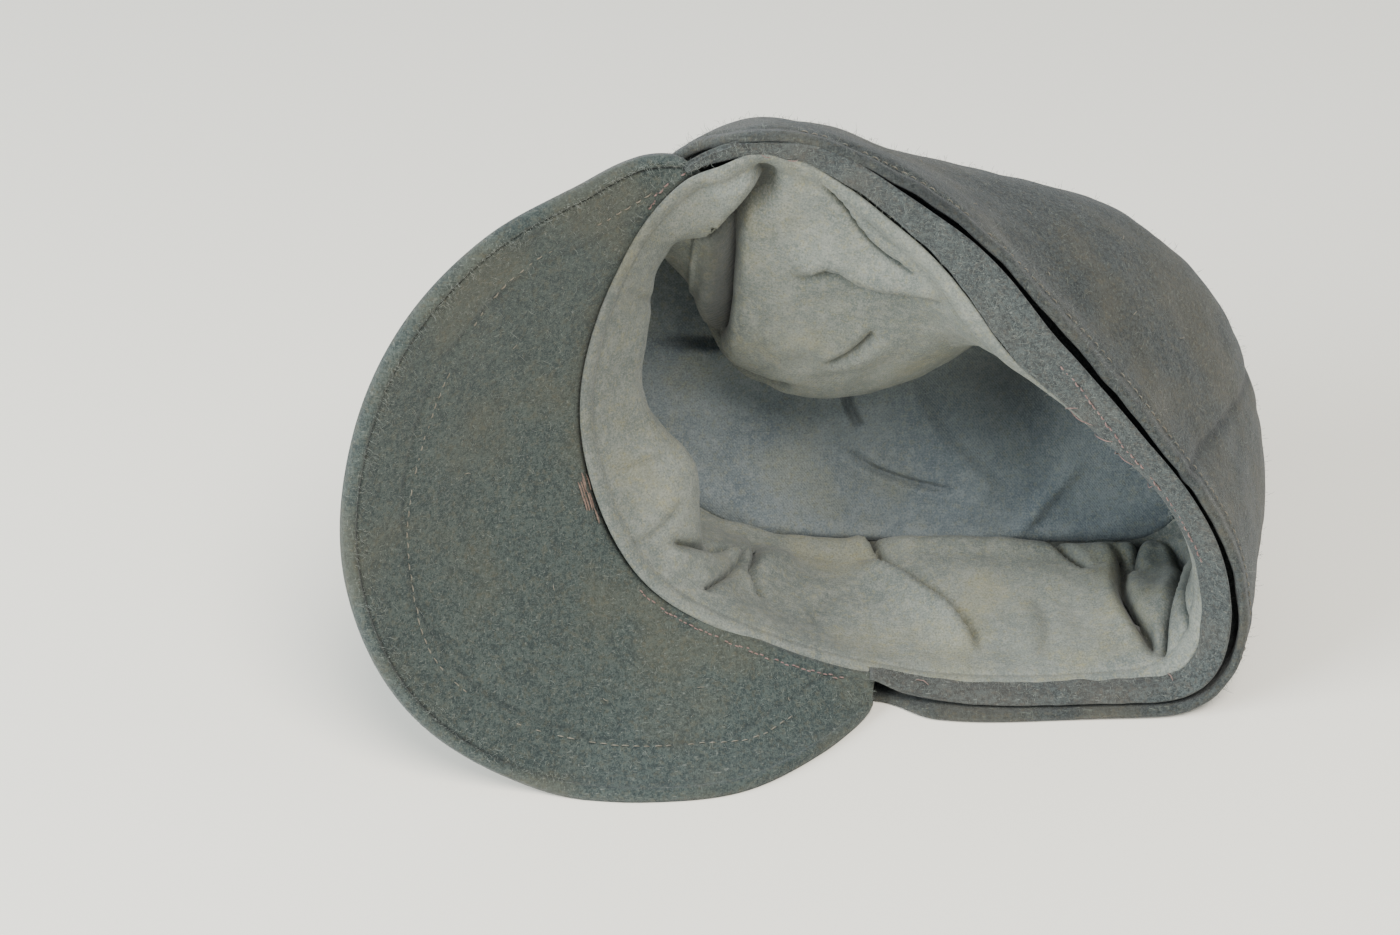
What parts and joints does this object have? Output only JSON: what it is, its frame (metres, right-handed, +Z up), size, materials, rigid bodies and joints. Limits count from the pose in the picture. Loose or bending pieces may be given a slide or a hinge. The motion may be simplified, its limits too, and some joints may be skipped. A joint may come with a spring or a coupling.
{
  "type": "peaked field cap with turn-up side flap",
  "caption": "Soft woollen field cap with a stiff rounded peak, turned-up side flap and cotton lining, lying on its side.",
  "frame": {"origin": "on the floor under the middle of the cap's footprint", "axes": "+Z up; the cap lies on its right side with its opening towards -Y, its peak towards -X and its crown towards +Y"},
  "size_m": [0.281, 0.1588, 0.1795],
  "materials": {
    "wool": "matt napped field-grey wool",
    "wool_hem": "matt napped field-grey wool, turned under",
    "lining": "smooth grey-green cotton twill",
    "button": "matt grey-green"
  },
  "bodies": {
    "root": {"crown_left": "wool", "crown_right": "wool", "crown_top": "wool", "rim_band": "wool_hem", "side_flap": "wool", "peak": "wool", "lining_side": "lining", "lining_top": "lining", "flap_button": "button"}
  },
  "joints": []
}
